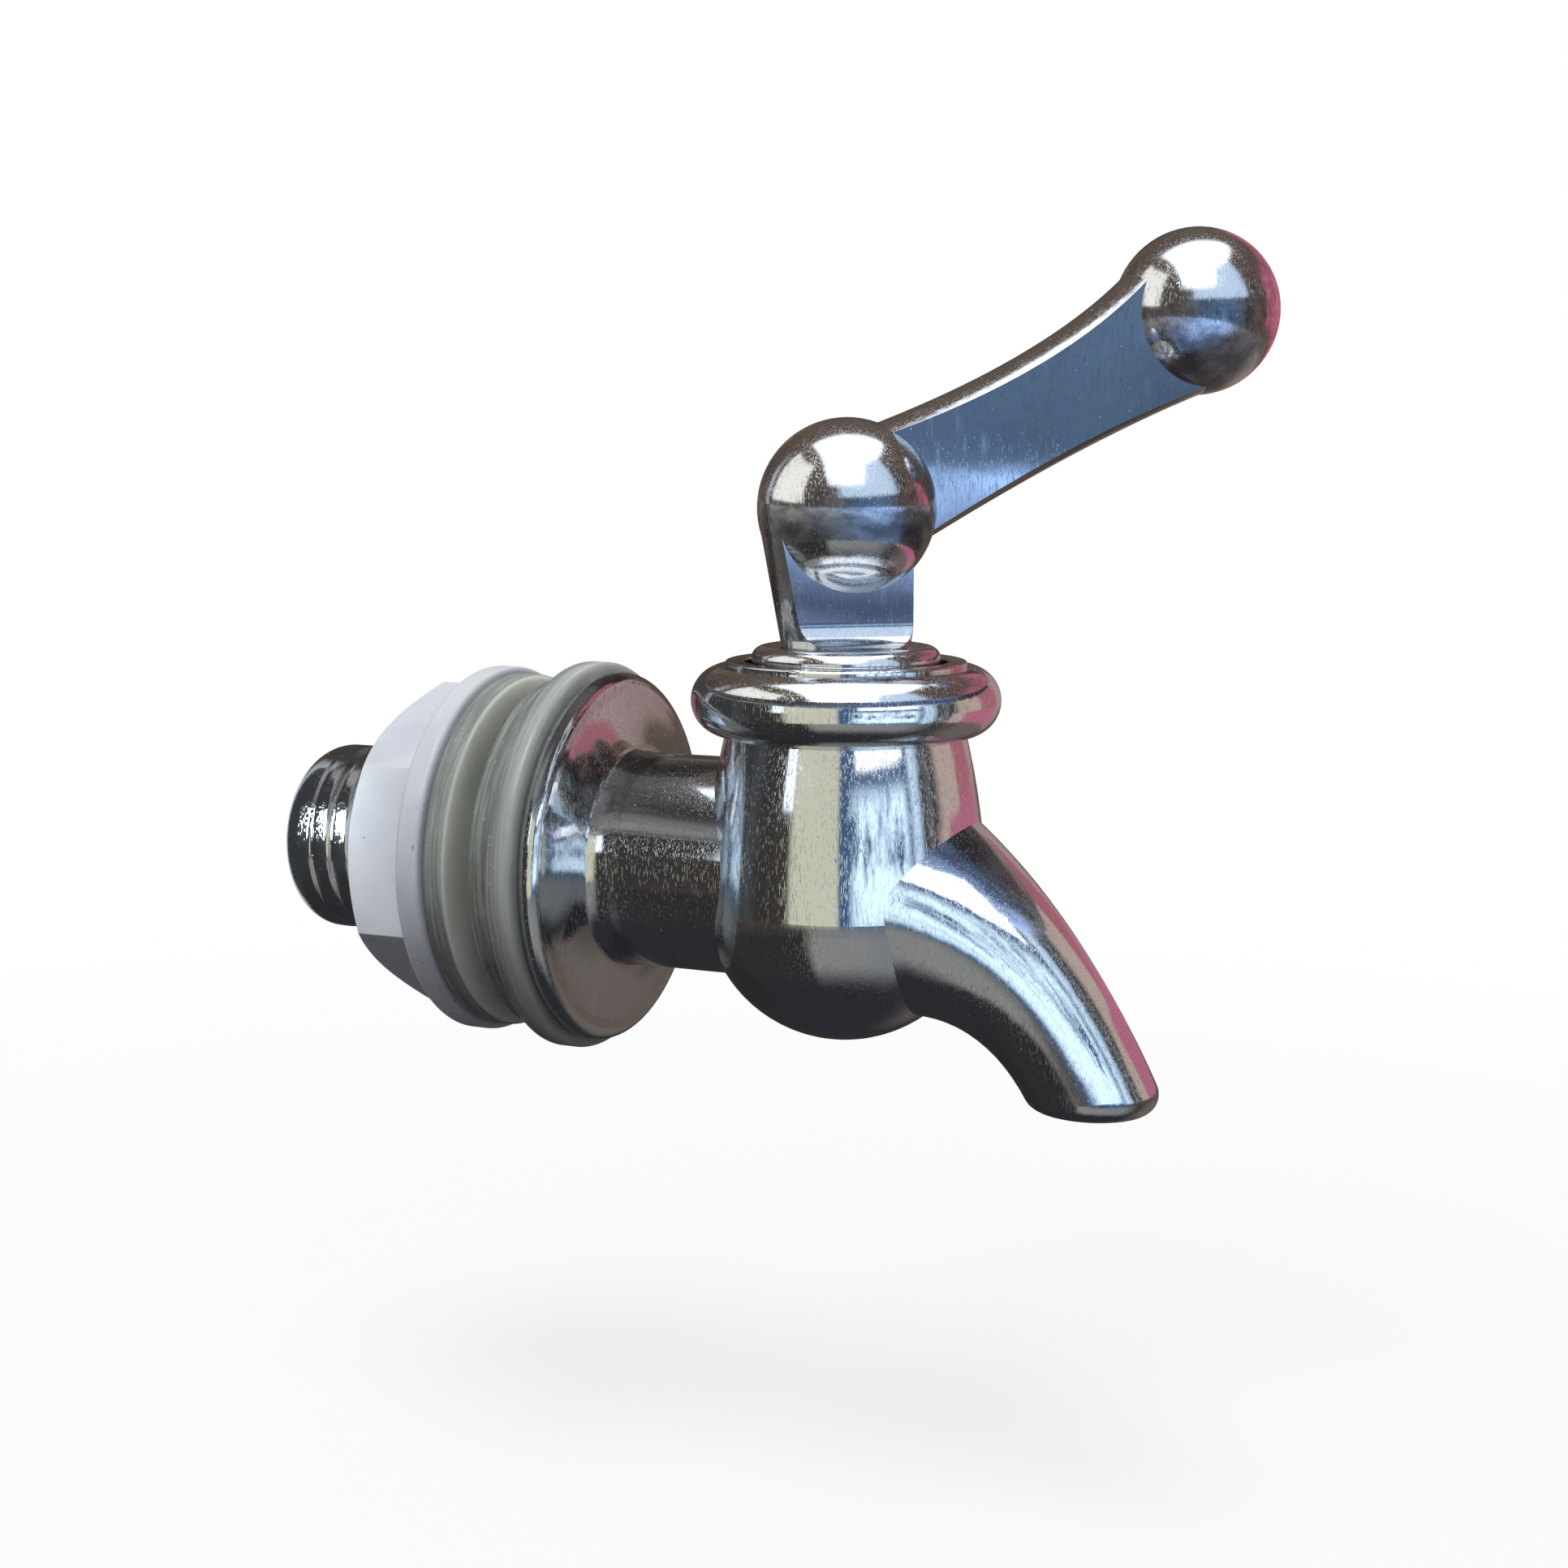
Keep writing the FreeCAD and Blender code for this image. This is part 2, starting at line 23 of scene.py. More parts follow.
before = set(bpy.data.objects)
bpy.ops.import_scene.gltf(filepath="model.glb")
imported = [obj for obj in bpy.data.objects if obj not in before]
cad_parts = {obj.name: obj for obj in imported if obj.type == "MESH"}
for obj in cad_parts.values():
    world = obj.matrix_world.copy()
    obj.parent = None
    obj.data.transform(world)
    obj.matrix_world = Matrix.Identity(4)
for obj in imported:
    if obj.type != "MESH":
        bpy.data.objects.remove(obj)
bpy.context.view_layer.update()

# Tap body: shank, wall flange, neck, barrel and spout, moulded in one piece and plated with bright
# chrome. Years of wiping leave fine upright scratches in the plate, and hard water leaves pale specks.


class Wire:
    """An output socket in a material; sums and products of wires add Math nodes."""

    def __init__(self, tree, socket=None):
        self.tree, self.socket = tree, socket

    def node(self, kind, settings=None, output=0, **sockets):
        """Add a node: its settings first, then values or wires for its sockets, by name or as i0, i1, i2."""
        made = self.tree.nodes.new(kind)
        for name, value in (settings or {}).items():
            if name == "stops":
                while len(made.color_ramp.elements) < len(value):
                    made.color_ramp.elements.new(0.5)
                for stop, (place, colour) in zip(made.color_ramp.elements, value):
                    stop.position = place
                    stop.color = (*colour, 1)
            else:
                setattr(made, name, value)
        for name, value in sockets.items():
            key = int(name[1:]) if name[1:].isdigit() else name.replace("_", " ")
            if isinstance(value, Wire):
                self.tree.links.new(value.socket, made.inputs[key])
            else:
                made.inputs[key].default_value = value
        return Wire(self.tree, made.outputs[output])

    def maths(self, operation, first, second):
        """Math node on two wires or values."""
        return self.node("ShaderNodeMath", {"operation": operation}, i0=first, i1=second)

    def __add__(self, other):
        return self.maths("ADD", self, other)

    def __sub__(self, other):
        return self.maths("SUBTRACT", self, other)

    def __rsub__(self, other):
        return self.maths("SUBTRACT", other, self)

    def __mul__(self, other):
        return self.maths("MULTIPLY", self, other)

    __radd__ = __add__
    __rmul__ = __mul__

    def between(self, low, high):
        """0 below low, 1 above high and a smooth step from one to the other."""
        return self.node("ShaderNodeMapRange", {"interpolation_type": "SMOOTHSTEP"},
                         Value=self, From_Min=low, From_Max=high)

    def mixed(self, first, second):
        """Colour that goes from first to second as this wire goes from 0 to 1."""
        return self.node("ShaderNodeMix", {"data_type": "RGBA"}, 2, Factor=self, i6=first, i7=second)

    def place(self, scale=(1, 1, 1)):
        """Place on the object, in metres times scale."""
        here = self.node("ShaderNodeTexCoord", None, 3)
        return self.node("ShaderNodeMapping", None, Vector=here, Scale=scale)

    def noise(self, where, scale, detail=3.0, roughness=0.5):
        """Noise with so many grains to the unit of where."""
        return self.node("ShaderNodeTexNoise", None, 0, Vector=where, Scale=scale, Detail=detail,
                         Roughness=roughness)

    def bump(self, height, distance, strength=1.0):
        """Normal of a surface raised by height times distance."""
        return self.node("ShaderNodeBump", None, Height=height, Distance=distance, Strength=strength)


def new_finish(name, **fixed):
    """Material with fixed values on its shader; returns it, a wire to start from and a way to link."""
    finish = bpy.data.materials.new(name)
    finish.use_nodes = True
    shader = finish.node_tree.nodes["Principled BSDF"]
    for socket, value in fixed.items():
        shader.inputs[socket.replace("_", " ")].default_value = value

    def feed(**wires):
        for socket, wire in wires.items():
            finish.node_tree.links.new(wire.socket, shader.inputs[socket.replace("_", " ")])

    return finish, Wire(finish.node_tree), feed


def dress(node, finish):
    """Give a CAD node its finish."""
    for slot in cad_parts[node].material_slots:
        slot.material = finish


PLATE = (0.60, 0.61, 0.63, 1)
PLATE_WORN = (0.74, 0.76, 0.79, 1)
LIME_SPECK = (0.80, 0.82, 0.84, 1)
WEAR_DEPTH = 0.00003
SCRATCH_STRETCH = 0.10
RUB_STRETCH = 0.2


def worn_chrome(name, haze, scratches):
    """Chrome plate with upright hair scratches, hazy rubbed patches and pale specks."""
    finish, start, feed = new_finish(name, Metallic=1.0)
    here = start.place()
    upright = start.place(scale=(1, 1, SCRATCH_STRETCH))
    hair = start.noise(upright, 9000, 1).between(0.60, 0.80)
    fine = start.noise(upright, 11000, 1).between(0.60, 0.74)
    patch = start.noise(here, 150, 4).between(0.42, 0.66)
    rubbed = start.noise(start.place(scale=(1, 1, RUB_STRETCH)), 1100, 2).between(0.52, 0.86) * patch
    speck = start.noise(here, 3600, 1).between(0.765, 0.79)
    marks = hair * (0.35 + patch * 0.65)
    worn = (marks * 0.4 + rubbed * haze * 0.6).mixed(PLATE, PLATE_WORN)
    relief = hair * 0.3 + fine * 0.35 + start.noise(here, 260, 2) * 0.9
    feed(Base_Color=speck.mixed(worn, LIME_SPECK),
         Roughness=0.045 + 0.035 * haze + rubbed * (0.14 * haze) + marks * 0.10 + fine * 0.05 + speck * 0.3,
         Metallic=1 - speck * 0.45,
         Normal=start.bump(relief, WEAR_DEPTH, scratches))
    return finish


dress("tap_body", worn_chrome("body_plate", haze=0.8, scratches=0.55))

# Shank thread: the coarse round thread on the shank, moulded and plated with it, that the nut turns on.
# Its last turn runs out before the shank's round end, and its inside is hidden in the shank's wall.

PITCH = 0.0019
THREAD_RADIUS = 0.0079
THREAD_DEPTH = 0.00040
THREAD_BACK = -0.02742
THREAD_FRONT = -0.0010
THREAD_SIDES = 96
THREAD_RINGS = 170
END_ROUND = 0.0027
PLAIN_END = 0.0034
RUN_OUT = 0.0005
INNER_RADIUS = 0.0052
INNER_STEP = 0.0005

thread = bmesh.new()
middle = Matrix.Translation(((THREAD_BACK + THREAD_FRONT) / 2, 0, 0))
bmesh.ops.create_cone(thread, segments=THREAD_SIDES, radius1=THREAD_RADIUS, radius2=THREAD_RADIUS,
                      depth=THREAD_FRONT - THREAD_BACK, cap_ends=False,
                      matrix=middle @ Matrix.Rotation(pi / 2, 4, "Y"))
lengths = [e for e in thread.edges if abs(e.verts[0].co.x - e.verts[1].co.x) > PITCH]
bmesh.ops.subdivide_edges(thread, edges=lengths, cuts=THREAD_RINGS, use_grid_fill=True)


def draw_to(vert, radius):
    """Move a vertex to a radius round the shank's axis."""
    scale = radius / hypot(vert.co.y, vert.co.z)
    vert.co.y *= scale
    vert.co.z *= scale


for vert in thread.verts:
    from_end = vert.co.x - THREAD_BACK
    turn = atan2(vert.co.z, vert.co.y) / tau
    wave = (1 + cos(tau * (vert.co.x / PITCH - turn))) / 2
    groove = THREAD_DEPTH * wave ** 8 * min(max((from_end - PLAIN_END) / RUN_OUT, 0), 1)
    rounding = END_ROUND - sqrt(max(END_ROUND ** 2 - max(END_ROUND - from_end, 0) ** 2, 0))
    draw_to(vert, THREAD_RADIUS - groove - rounding)
rims = [e for e in thread.edges if e.is_boundary]
for vert in bmesh.ops.extrude_edge_only(thread, edges=rims)["geom"]:
    if isinstance(vert, bmesh.types.BMVert):
        at_back = vert.co.x < THREAD_BACK / 2
        vert.co.x = THREAD_BACK + INNER_STEP if at_back else THREAD_FRONT
        draw_to(vert, INNER_RADIUS)
bmesh.ops.bridge_loops(thread, edges=[e for e in thread.edges if e.is_boundary])


def placed(name, shape, finish):
    """Turn a bmesh into an object of the scene."""
    mesh = bpy.data.meshes.new(name)
    shape.to_mesh(mesh)
    shape.free()
    mesh.materials.append(finish)
    thing = bpy.data.objects.new(name, mesh)
    bpy.context.collection.objects.link(thing)
    return thing


bmesh.ops.recalc_face_normals(thread, faces=thread.faces)
for face in thread.faces:
    face.smooth = True
shank_thread = placed("shank_thread", thread, worn_chrome("thread_plate", haze=0.5, scratches=0.4))
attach(shank_thread, "tap")

# Plug sleeve: the lining of the valve's chamber, moulded in white silicone and pushed in from above.
# It has a port to the shank and one to the spout, and the plug turns in it.


def plain_finish(name, grain, detail, dark, pale, depth, scale=(1, 1, 1), **fixed):
    """Material between two near colours with a faint grain."""
    finish, start, feed = new_finish(name, **fixed)
    tone = start.noise(start.place(scale), grain, detail)
    feed(Base_Color=tone.mixed(dark, pale), Normal=start.bump(tone, depth, 0.3))
    return finish


dress("plug_sleeve", plain_finish("sleeve_silicone", 400, 3, (0.80, 0.80, 0.77, 1), (0.88, 0.88, 0.86, 1),
                                  0.00005, Roughness=0.5, Subsurface_Weight=0.2, Subsurface_Scale=0.002))

# Valve plug: turned from natural acetal, with a cross hole for the drink and a slot for the handle's
# tang. The lathe leaves faint rings on it, and it sits greased in the sleeve.

dress("valve_plug", plain_finish("plug_acetal", 3000, 2, (0.84, 0.84, 0.80, 1), (0.90, 0.90, 0.87, 1),
                                 0.00003, scale=(0.1, 0.1, 1), Roughness=0.35))

# Bonnet seal, thrust washer and O-ring: the small rings between body, bonnet ring and handle.
# The seal is cut from white silicone, the washer is natural acetal and the O-ring is black rubber.

dress("bonnet_seal", plain_finish("seal_silicone", 900, 3, (0.78, 0.79, 0.77, 1), (0.88, 0.88, 0.86, 1),
                                  0.00003, Roughness=0.5))
dress("thrust_washer", plain_finish("washer_acetal", 1800, 3, (0.80, 0.80, 0.77, 1), (0.87, 0.87, 0.84, 1),
                                    0.00002, Roughness=0.4))

finish, start, feed = new_finish("oring_rubber")
bloom = start.noise(start.place(), 1500, 4)
feed(Base_Color=bloom.mixed((0.015, 0.015, 0.016, 1), (0.05, 0.05, 0.052, 1)), Roughness=0.35 + bloom * 0.3,
     Normal=start.bump(bloom, 0.00002, 0.4))
dress("stem_oring", finish)

# Bonnet ring: a moulded and plated ring with one fat round bead and a raised land on top.
# It screws down on the barrel's collar and keeps the handle in.

dress("bonnet_ring", worn_chrome("ring_plate", haze=0.7, scratches=0.6))

# Lever handle: ball elbow, flat-sided arm and ball knob in one plated moulding on a round disc.
# It is the piece that hands rub, so its plate is the haziest.

dress("lever_handle", worn_chrome("handle_plate", haze=1.5, scratches=0.6))

# Gaskets: two washers moulded in cloudy grey-green silicone, slightly see-through and a little dusty.
# They slip onto the shank at both sides of the vessel's wall. Painted light makes the outer one paler
# towards the flange, where it lies in shade, and the inner one paler on its face to the gap, where light
# seeps through the silicone.

DUST = (0.70, 0.70, 0.66, 1)
RING_MARK = (0.62, 0.64, 0.62, 1)
MILLIMETRES = (1000, 1000, 1000)


def cloudy_silicone(name, thin, thick, pale, painted_light_from, painted_light_to):
    """Silicone between two tints, turned pale by painted light between two places on X in mm, with rings and
    dust.
    """
    finish, start, feed = new_finish(name, Subsurface_Weight=0.8, Subsurface_Scale=0.003,
                                     Subsurface_Radius=(1.0, 1.0, 0.85), Specular_IOR_Level=0.45)
    cloud = start.noise(start.place(), 240, 4)
    rings = start.noise(start.place(scale=(1, 0.03, 0.03)), 5200, 2)
    dust = start.noise(start.place(), 3800, 2).between(0.66, 0.74)
    along = start.node("ShaderNodeSeparateXYZ", None, 0, Vector=start.place(scale=MILLIMETRES))
    tint = cloud.between(0.35, 0.65).mixed(thin, thick)
    # Painted light: the tint turns pale between the two places on X.
    tint = along.between(painted_light_from, painted_light_to).mixed(tint, pale)
    tint = (rings.between(0.42, 0.66) * 0.30).mixed(tint, RING_MARK)
    feed(Base_Color=(dust * 0.4).mixed(tint, DUST),
         Roughness=0.32 + cloud * 0.16 + dust * 0.3,
         Normal=start.bump(rings * 0.7 + cloud * 0.5 + dust * 0.5, 0.00004, 0.5))
    return finish


# The pale tints are painted light: shade lightened on the outer gasket towards the flange, and light through
# the silicone on the inner one's face to the gap.
dress("outer_gasket", cloudy_silicone("outer_silicone", thin=(0.20, 0.215, 0.20, 1),
                                      thick=(0.15, 0.16, 0.145, 1), pale=(0.40, 0.42, 0.40, 1),
                                      painted_light_from=-2.0, painted_light_to=-0.6))
dress("inner_gasket", cloudy_silicone("inner_silicone", thin=(0.26, 0.285, 0.26, 1),
                                      thick=(0.21, 0.23, 0.205, 1), pale=(0.88, 0.92, 0.80, 1),
                                      painted_light_from=-6.95, painted_light_to=-6.75))

# Shank nut: a hexagon on a round flange, moulded in white nylon and turned onto the shank by hand.
# It is satin, faintly blue in the shade, and has a few small dark nicks.

NYLON_SHADE = (0.62, 0.64, 0.70, 1)
NYLON = (0.70, 0.71, 0.75, 1)
NICK = (0.16, 0.16, 0.19, 1)

finish, start, feed = new_finish("nut_nylon", Subsurface_Weight=0.3, Subsurface_Scale=0.002,
                                 Subsurface_Radius=(1.0, 1.0, 1.1), Specular_IOR_Level=0.4)
cloud = start.noise(start.place(), 180, 4)
grain = start.noise(start.place(), 3000, 3)
nick = start.noise(start.place(scale=(1, 1, 0.5)), 1500, 1).between(0.755, 0.78)
tint = cloud.between(0.35, 0.65).mixed(NYLON_SHADE, NYLON)
feed(Base_Color=(nick * 0.7).mixed(tint, NICK), Roughness=0.36 + grain * 0.16,
     Normal=start.bump(grain * 0.5 + cloud - nick * 0.5, 0.00004, 0.4))
dress("shank_nut", finish)

# Floor: white paper below the tap, which hangs free over it. It keeps the tap's soft shadow, and
# farther out it glows pure white, so that no horizon shows.

FLOOR_HEIGHT = -0.055
FLOOR_SIZE = 4.0
PAPER = (0.90, 0.90, 0.90, 1)
WHITE = (1, 1, 1, 1)
GLOW_BELOW_TAP = 0.72
GLOW_FULL_FROM, GLOW_FULL_TO = 0.05, 0.28


def bare_finish(name):
    """Material with nothing but an output; returns it, a wire to start from and a way to end."""
    finish = bpy.data.materials.new(name)
    finish.use_nodes = True
    tree = finish.node_tree
    tree.nodes.clear()

    def end(shader):
        tree.links.new(shader.socket, tree.nodes.new("ShaderNodeOutputMaterial").inputs["Surface"])

    return finish, Wire(tree), end


def seen_directly(start):
    """1 for the camera, reflections and see-through parts, 0 for the light that falls on things."""
    seen = [start.node("ShaderNodeLightPath", None, name)
            for name in ("Is Camera Ray", "Is Glossy Ray", "Is Transmission Ray")]
    return start.maths("MAXIMUM", seen[0], start.maths("MAXIMUM", seen[1], seen[2]))


floor_shape = bmesh.new()
bmesh.ops.create_grid(floor_shape, x_segments=1, y_segments=1, size=FLOOR_SIZE,
                      matrix=Matrix.Translation((0, 0, FLOOR_HEIGHT)))
finish, start, end = bare_finish("floor_paper")
distance = start.node("ShaderNodeVectorMath", {"operation": "LENGTH"}, 1, i0=start.place(scale=(1, 1, 0)))
paper = start.node("ShaderNodeBsdfDiffuse", None, 0, Color=PAPER)
white = start.node("ShaderNodeEmission", None, 0, Color=WHITE, Strength=1.0)
share = GLOW_BELOW_TAP + (1 - GLOW_BELOW_TAP) * distance.between(GLOW_FULL_FROM, GLOW_FULL_TO)
end(start.node("ShaderNodeMixShader", None, 0, Fac=seen_directly(start) * share, i1=paper, i2=white))
floor = placed("floor", floor_shape, finish)
floor.visible_glossy = False
floor.visible_diffuse = False

# Reflector tent: a cloth ball round the studio, painted as the dim room that the chrome mirrors.
# A soft light hangs overhead, windows stand in front and on the left, and a red curtain on the right.

TENT_RADIUS = 0.6
FRONT = 0.328
TOWARD_CAMERA = (0.468, -0.884, 0)
RIGHT_OF_CAMERA = (0.884, 0.468, 0)
ROOM_LIGHT = 1.25
BROWN = (0.12, 0.09, 0.07)
DIM = (0.060, 0.052, 0.047)
PALE_DOOR = (0.7, 0.75, 0.8)
CURTAIN = (0.42, 0.13, 0.19, 1)
DARK_CEILING = (0.12, 0.09, 0.07, 1)
WARM_WINDOW = (1.10, 1.08, 1.00, 1)
BLUE_WINDOW = (0.66, 0.82, 1.03, 1)
DARK_TABLE = (0.028, 0.030, 0.036, 1)
SOFT_LIGHT = (1.9, 2.0, 2.15, 1)


def from_front(degrees):
    """Place on a radial gradient of a direction so many degrees to the right of the camera's."""
    return (FRONT + degrees / 360) % 1


def bands(start, gradient, table):
    """Colours round the tap; the table has degrees to the right of the camera and a colour."""
    stops = sorted((from_front(degrees), colour) for degrees, colour in table)
    return start.node("ShaderNodeValToRGB", {"stops": stops}, Fac=gradient)


def box(wire, low, high, soft):
    """1 between low and high, with soft edges."""
    return wire.between(low - soft, low) * (1 - wire.between(high, high + soft))


def sector(gradient, left, right, soft):
    """1 between two directions, in degrees to the right of the camera's."""
    return box(gradient, from_front(left), from_front(right), soft)


def turn_and_height(start, here):
    """Radial gradient round the upright axis, and the height."""
    return (start.node("ShaderNodeTexGradient", {"gradient_type": "RADIAL"}, 1, Vector=here),
            start.node("ShaderNodeSeparateXYZ", None, 2, Vector=here))


def times(colour, mask, low, high, share=1.0):
    """Colour multiplied by one that goes from low to high with the mask."""
    return colour.node("ShaderNodeMix", {"data_type": "RGBA", "blend_type": "MULTIPLY"}, 2, Factor=share,
                       i6=colour, i7=mask.mixed(low, high))


def lit(start, colour, part=None):
    """Glow of a reflector, see-through where part is 0."""
    glow = start.node("ShaderNodeEmission", None, 0, Color=colour, Strength=ROOM_LIGHT)
    if part is None:
        return glow
    clear = start.node("ShaderNodeBsdfTransparent")
    return start.node("ShaderNodeMixShader", None, 0, Fac=part, i1=clear, i2=glow)


def reflector(name, shape, finish):
    """Stage object that faces inward and that reflections alone show."""
    bmesh.ops.reverse_faces(shape, faces=shape.faces)
    thing = placed(name, shape, finish)
    thing.visible_camera = False
    thing.visible_diffuse = False
    thing.visible_transmission = False
    thing.visible_shadow = False


finish, start, end = bare_finish("tent_cloth")
here = start.place(scale=(1 / TENT_RADIUS,) * 3)
gradient, height = turn_and_height(start, here)
toward = start.node("ShaderNodeVectorMath", {"operation": "DOT_PRODUCT"}, 1, i0=here, i1=TOWARD_CAMERA)
rightward = start.node("ShaderNodeVectorMath", {"operation": "DOT_PRODUCT"}, 1, i0=here, i1=RIGHT_OF_CAMERA)
mottle = start.noise(here, 3.2, 4, 0.6).between(0.30, 0.70)
ripple = start.noise(here, 16, 3, 0.6).between(0.32, 0.68)

walls = bands(start, gradient, [
    (-175, BROWN), (-135, DIM), (-129, PALE_DOOR), (-123, DIM), (-100, BROWN), (-62, (0.09, 0.08, 0.07)),
    (-30, (0.10, 0.09, 0.08)), (-10, (0.12, 0.13, 0.15)), (0, (0.06, 0.10, 0.17)), (20, (0.07, 0.135, 0.235)),
    (45, (0.09, 0.145, 0.235)), (62, DIM), (90, BROWN), (105, BROWN), (165, DIM)])
walls = (sector(gradient, 100, 152, 0.015) * box(height, -0.06, 0.50, 0.08)).mixed(walls, CURTAIN)
walls = times(walls, mottle, (0.55, 0.55, 0.60, 1), (1.35, 1.30, 1.25, 1), share=0.75)
walls = times(walls, ripple, (0.55, 0.55, 0.62, 1), (1.55, 1.55, 1.5, 1), share=0.8)

upper = height.between(0.35, 0.75).mixed(walls, DARK_CEILING)
left_window = sector(gradient, -115, -66, 0.015) * box(height, 0.18, 0.75, 0.05)
upper = left_window.mixed(upper, WARM_WINDOW)
high_window = sector(gradient, -8, 58, 0.03) * box(height, 0.34, 0.95, 0.08)
upper = high_window.mixed(upper, BLUE_WINDOW)

ground = bands(start, gradient, [
    (-175, (0.028, 0.026, 0.026)), (-38, (0.035, 0.033, 0.033)), (-30, (0.30, 0.30, 0.28)),
    (45, (0.24, 0.25, 0.26)), (72, (0.04, 0.04, 0.04)), (105, (0.17, 0.145, 0.13)),
    (140, (0.15, 0.125, 0.11)), (160, (0.03, 0.03, 0.03))])
lower = height.between(-0.92, -0.66).mixed(DARK_TABLE, ground)
room = height.between(-0.40, -0.12).mixed(lower, upper)

low_light = box(rightward, -0.36, 0.24, 0.10) * height.between(0.46, 0.62)
high_light = box(rightward, -0.36, 0.50, 0.08) * height.between(0.80, 0.88)
overhead = start.maths("MAXIMUM", low_light, high_light) * toward.between(-0.34, -0.16)
end(lit(start, overhead.mixed(room, SOFT_LIGHT)))

tent_shape = bmesh.new()
bmesh.ops.create_icosphere(tent_shape, subdivisions=4, radius=TENT_RADIUS)
reflector("reflector_tent", tent_shape, finish)

# Near reflector: a low painted wall close round the valve, for the barrel and the spout to mirror.
# It shows a cream card, a blue window with streaks of glare, pale stripes and a crimson card.

NEAR_RADIUS = 0.062
NEAR_BOTTOM = -0.020
NEAR_TOP = 0.031
VALVE_AXIS = (0.0215, 0, 0)
WALL_SIDES = 128
CREAM = (0.71, 0.70, 0.54)
NIGHT = (0.065, 0.13, 0.255)
WARM = (0.55, 0.44, 0.38)
CRIMSON = (0.42, 0.14, 0.18)
GLARE = (1.08, 1.38, 1.62, 1)
LOW_RED = (0.50, 0.16, 0.25, 1)
TOP_LIGHT = (1.7, 1.8, 1.95, 1)
LAMP_SPOT = (1.5, 1.75, 1.95, 1)


def round_valve(low_radius, high_radius, low, high):
    """Wall or sloping ring round the valve's axis."""
    wall = bmesh.new()
    bmesh.ops.create_cone(wall, segments=WALL_SIDES, radius1=low_radius, radius2=high_radius,
                          depth=high - low, matrix=Matrix.Translation((VALVE_AXIS[0], 0, (high + low) / 2)))
    return wall


def from_valve(start):
    """Place from the valve's axis, in metres."""
    return start.node("ShaderNodeVectorMath", {"operation": "SUBTRACT"}, 0, i0=start.place(), i1=VALVE_AXIS)


finish, start, end = bare_finish("near_card")
here = from_valve(start)
gradient, height = turn_and_height(start, here)
lean = (0.008 - height).between(0, 0.006) * gradient.between(0.50, 0.56) * 0.032
cards = bands(start, gradient + lean, [
    (-178, DIM), (-125, DIM), (-121, (0.45, 0.47, 0.49)), (-117, (0.045, 0.05, 0.055)),
    (-94, (0.04, 0.043, 0.046)), (-86, (0.07, 0.076, 0.08)), (-76, (0.045, 0.040, 0.039)),
    (-50, (0.05, 0.043, 0.040)), (-46, CREAM), (-12, CREAM), (-10, NIGHT), (46, NIGHT),
    (50, (0.85, 1.06, 1.25)), (55, (0.5, 0.7, 0.9)), (59, DIM), (66, (0.15, 0.155, 0.16)),
    (71, (0.035, 0.035, 0.035)), (79, WARM), (101, WARM), (103, CRIMSON), (129, CRIMSON),
    (132, (0.42, 0.32, 0.31)), (150, (0.32, 0.23, 0.22)), (156, BROWN)])

pane = sector(gradient, 4, 39, 0.025) * box(height, -0.008, 0.015, 0.008)
edges = height.between(0.006, 0.018) + (0.004 - height).between(0, 0.008) * 1.8
streaks = start.noise(start.node("ShaderNodeMapping", None, Vector=here, Scale=(1, 1, 0.45)), 210, 3, 0.7)
glare = (streaks + edges * 0.10).between(0.40, 0.60) * pane
cards = glare.mixed(cards, GLARE)
cards = (sector(gradient, 86, 129, 0.01) * (0.008 - height).between(0, 0.003)).mixed(cards, LOW_RED)
cards = (sector(gradient, 4, 42, 0.01) * height.between(0.0240, 0.0252)).mixed(cards, TOP_LIGHT)
cards = (sector(gradient, -55, -49, 0.006) * box(height, 0.015, 0.031, 0.003)).mixed(cards, LAMP_SPOT)
end(lit(start, cards, part=box(height, -0.013, 0.040, 0.006)))
reflector("near_reflector", round_valve(NEAR_RADIUS, NEAR_RADIUS, NEAR_BOTTOM, NEAR_TOP), finish)

# Near flag: a dark cloth that slopes from the near wall's top in towards the bonnet ring.
# It hides that wall from the handle, and the handle mirrors its mottled blue and brown instead.

FLAG_RADIUS = 0.0165
FLAG_INNER_HEIGHT = 0.0185

finish, start, end = bare_finish("flag_cloth")
here = from_valve(start)
gradient, height = turn_and_height(start, here)
mottle = start.noise(here, 60, 4, 0.6).between(0.35, 0.65)
cloth = bands(start, gradient, [
    (-178, BROWN), (-120, DIM), (-60, (0.15, 0.14, 0.13)), (-15, (0.15, 0.17, 0.21)),
    (10, (0.21, 0.29, 0.46)), (45, (0.26, 0.37, 0.60)), (70, (0.08, 0.08, 0.09)), (130, BROWN)])
cloth = times(cloth, mottle, (0.5, 0.5, 0.53, 1), (1.6, 1.6, 1.55, 1))
cloth = times(cloth, height.between(0.019, 0.031), (0.52, 0.53, 0.56, 1), (1.7, 1.8, 1.9, 1))
end(lit(start, cloth))
reflector("near_flag", round_valve(FLAG_RADIUS, NEAR_RADIUS, FLAG_INNER_HEIGHT, NEAR_TOP), finish)

# Spout card: a narrow white card just under the flag, in the directions between camera and spout.
# It widens the white streak that the spout's upper side mirrors near its root.

CARD_INNER_RADIUS, CARD_OUTER_RADIUS = 0.034, 0.0615
CARD_LOW, CARD_HIGH = 0.0227, 0.0303

finish, start, end = bare_finish("spout_card")
gradient = turn_and_height(start, from_valve(start))[0]
end(lit(start, SOFT_LIGHT, part=sector(gradient, 4, 42, 0.01)))
reflector("spout_card", round_valve(CARD_INNER_RADIUS, CARD_OUTER_RADIUS, CARD_LOW, CARD_HIGH), finish)

# World: the air round the studio, white for the camera, reflections and see-through parts.
# On what it lights it is a plain grey fill, brighter from above.

FILL_BELOW = (0.07, 0.07, 0.08, 1)
FILL_ABOVE = (0.40, 0.41, 0.43, 1)

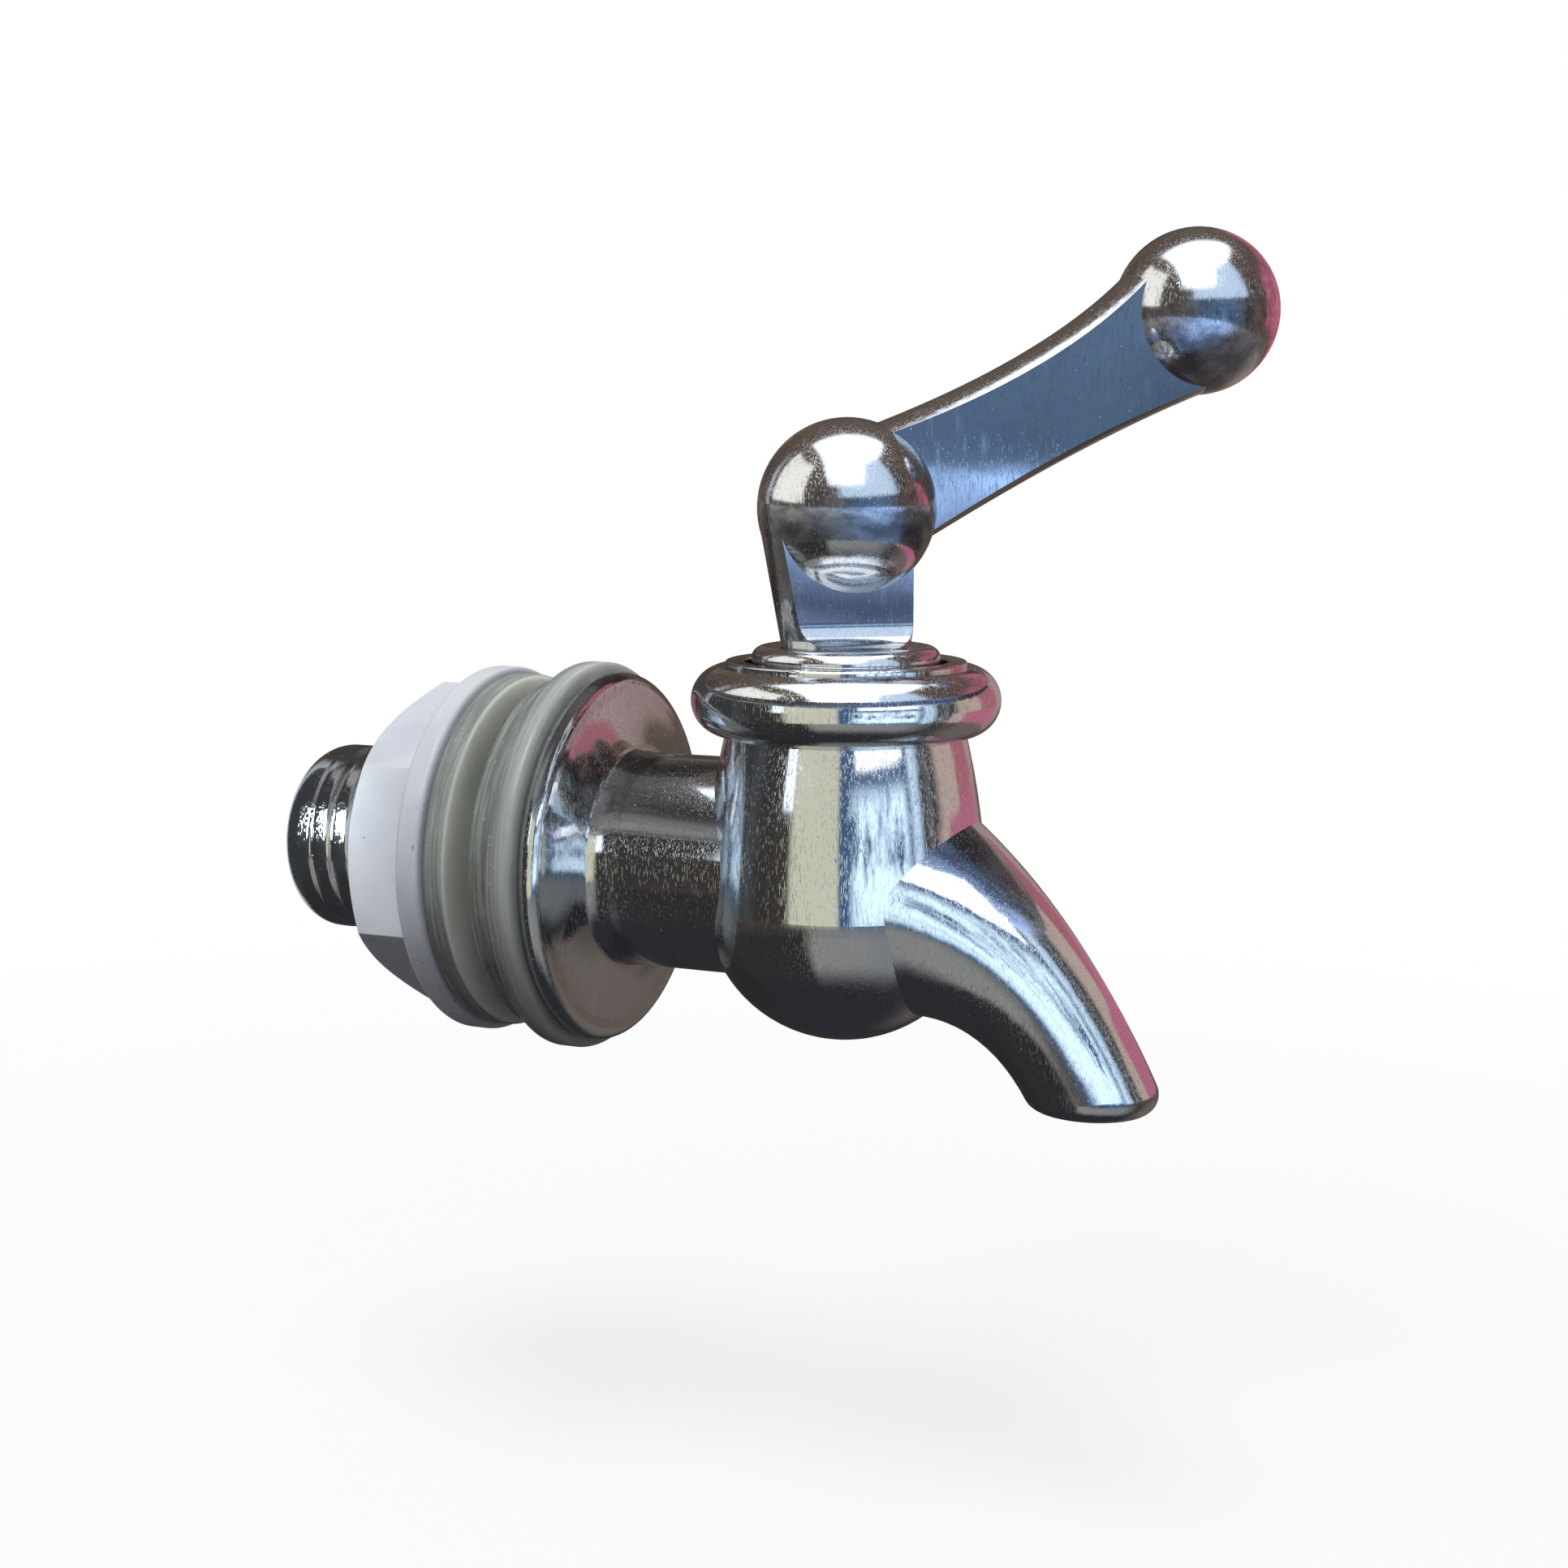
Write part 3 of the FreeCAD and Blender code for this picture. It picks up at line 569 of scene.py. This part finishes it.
world = bpy.data.worlds.new("pale_room")
bpy.context.scene.world = world
world.use_nodes = True
tree = world.node_tree
tree.nodes.clear()
start = Wire(tree)
up = start.node("ShaderNodeSeparateXYZ", None, 2, Vector=start.node("ShaderNodeTexCoord", None, "Generated"))
fill = up.between(-0.5, 0.6).mixed(FILL_BELOW, FILL_ABOVE)
sky = start.node("ShaderNodeBackground", None, Strength=1.0, Color=seen_directly(start).mixed(fill, WHITE))
tree.links.new(sky.socket, tree.nodes.new("ShaderNodeOutputWorld").inputs["Surface"])

# Lamps: a large soft key from above the camera, a weak fill from the left and a rim from behind.
# A small lamp beside the shank puts the glint on its thread, and only glossy light shows it.

MIDDLE = (0.012, 0, 0.012)
GLINT_PLACE = (-0.0326, -0.0275, 0.0095)
SHANK_SIDE = (-0.0220, -0.0076, 0.002)


def soft_lamp(name, place, target, size, watts, colour):
    """Round area lamp that shines from a place to a target."""
    lamp = bpy.data.lights.new(name, "AREA")
    lamp.shape = "DISK"
    lamp.size = size
    lamp.energy = watts
    lamp.color = colour
    holder = bpy.data.objects.new(name, lamp)
    holder.location = place
    holder.rotation_euler = (Vector(target) - Vector(place)).to_track_quat("-Z", "Y").to_euler()
    bpy.context.collection.objects.link(holder)
    return holder


soft_lamp("key_lamp", (0.05, -0.30, 0.60), MIDDLE, 0.30, 2.6, (0.96, 0.98, 1.0))
soft_lamp("fill_lamp", (-0.45, -0.35, 0.25), MIDDLE, 0.45, 0.5, (1.0, 0.98, 0.94))
soft_lamp("rim_lamp", (-0.10, 0.50, 0.45), MIDDLE, 0.40, 0.8, (1.0, 1.0, 1.0))
glint = soft_lamp("shank_glint", GLINT_PLACE, SHANK_SIDE, 0.016, 0.0029, (0.86, 0.95, 1.0))
glint.data.spread = radians(50)
glint.visible_diffuse = False

# Camera: close to the tap, slightly above its middle and a little to the spout's side of square on.
# Its place and lens were fitted to the photo of the real tap.

view = bpy.data.cameras.new("photo_camera")
view.sensor_width = 36
view.lens = 55.118
view.clip_start = 0.01
camera = bpy.data.objects.new("photo_camera", view)
camera.location = (0.092146, -0.174180, 0.034214)
camera.rotation_euler = (radians(81.818), radians(-0.078), radians(23.569))
bpy.context.collection.objects.link(camera)
bpy.context.scene.camera = camera
bpy.context.scene.view_settings.view_transform = "Standard"
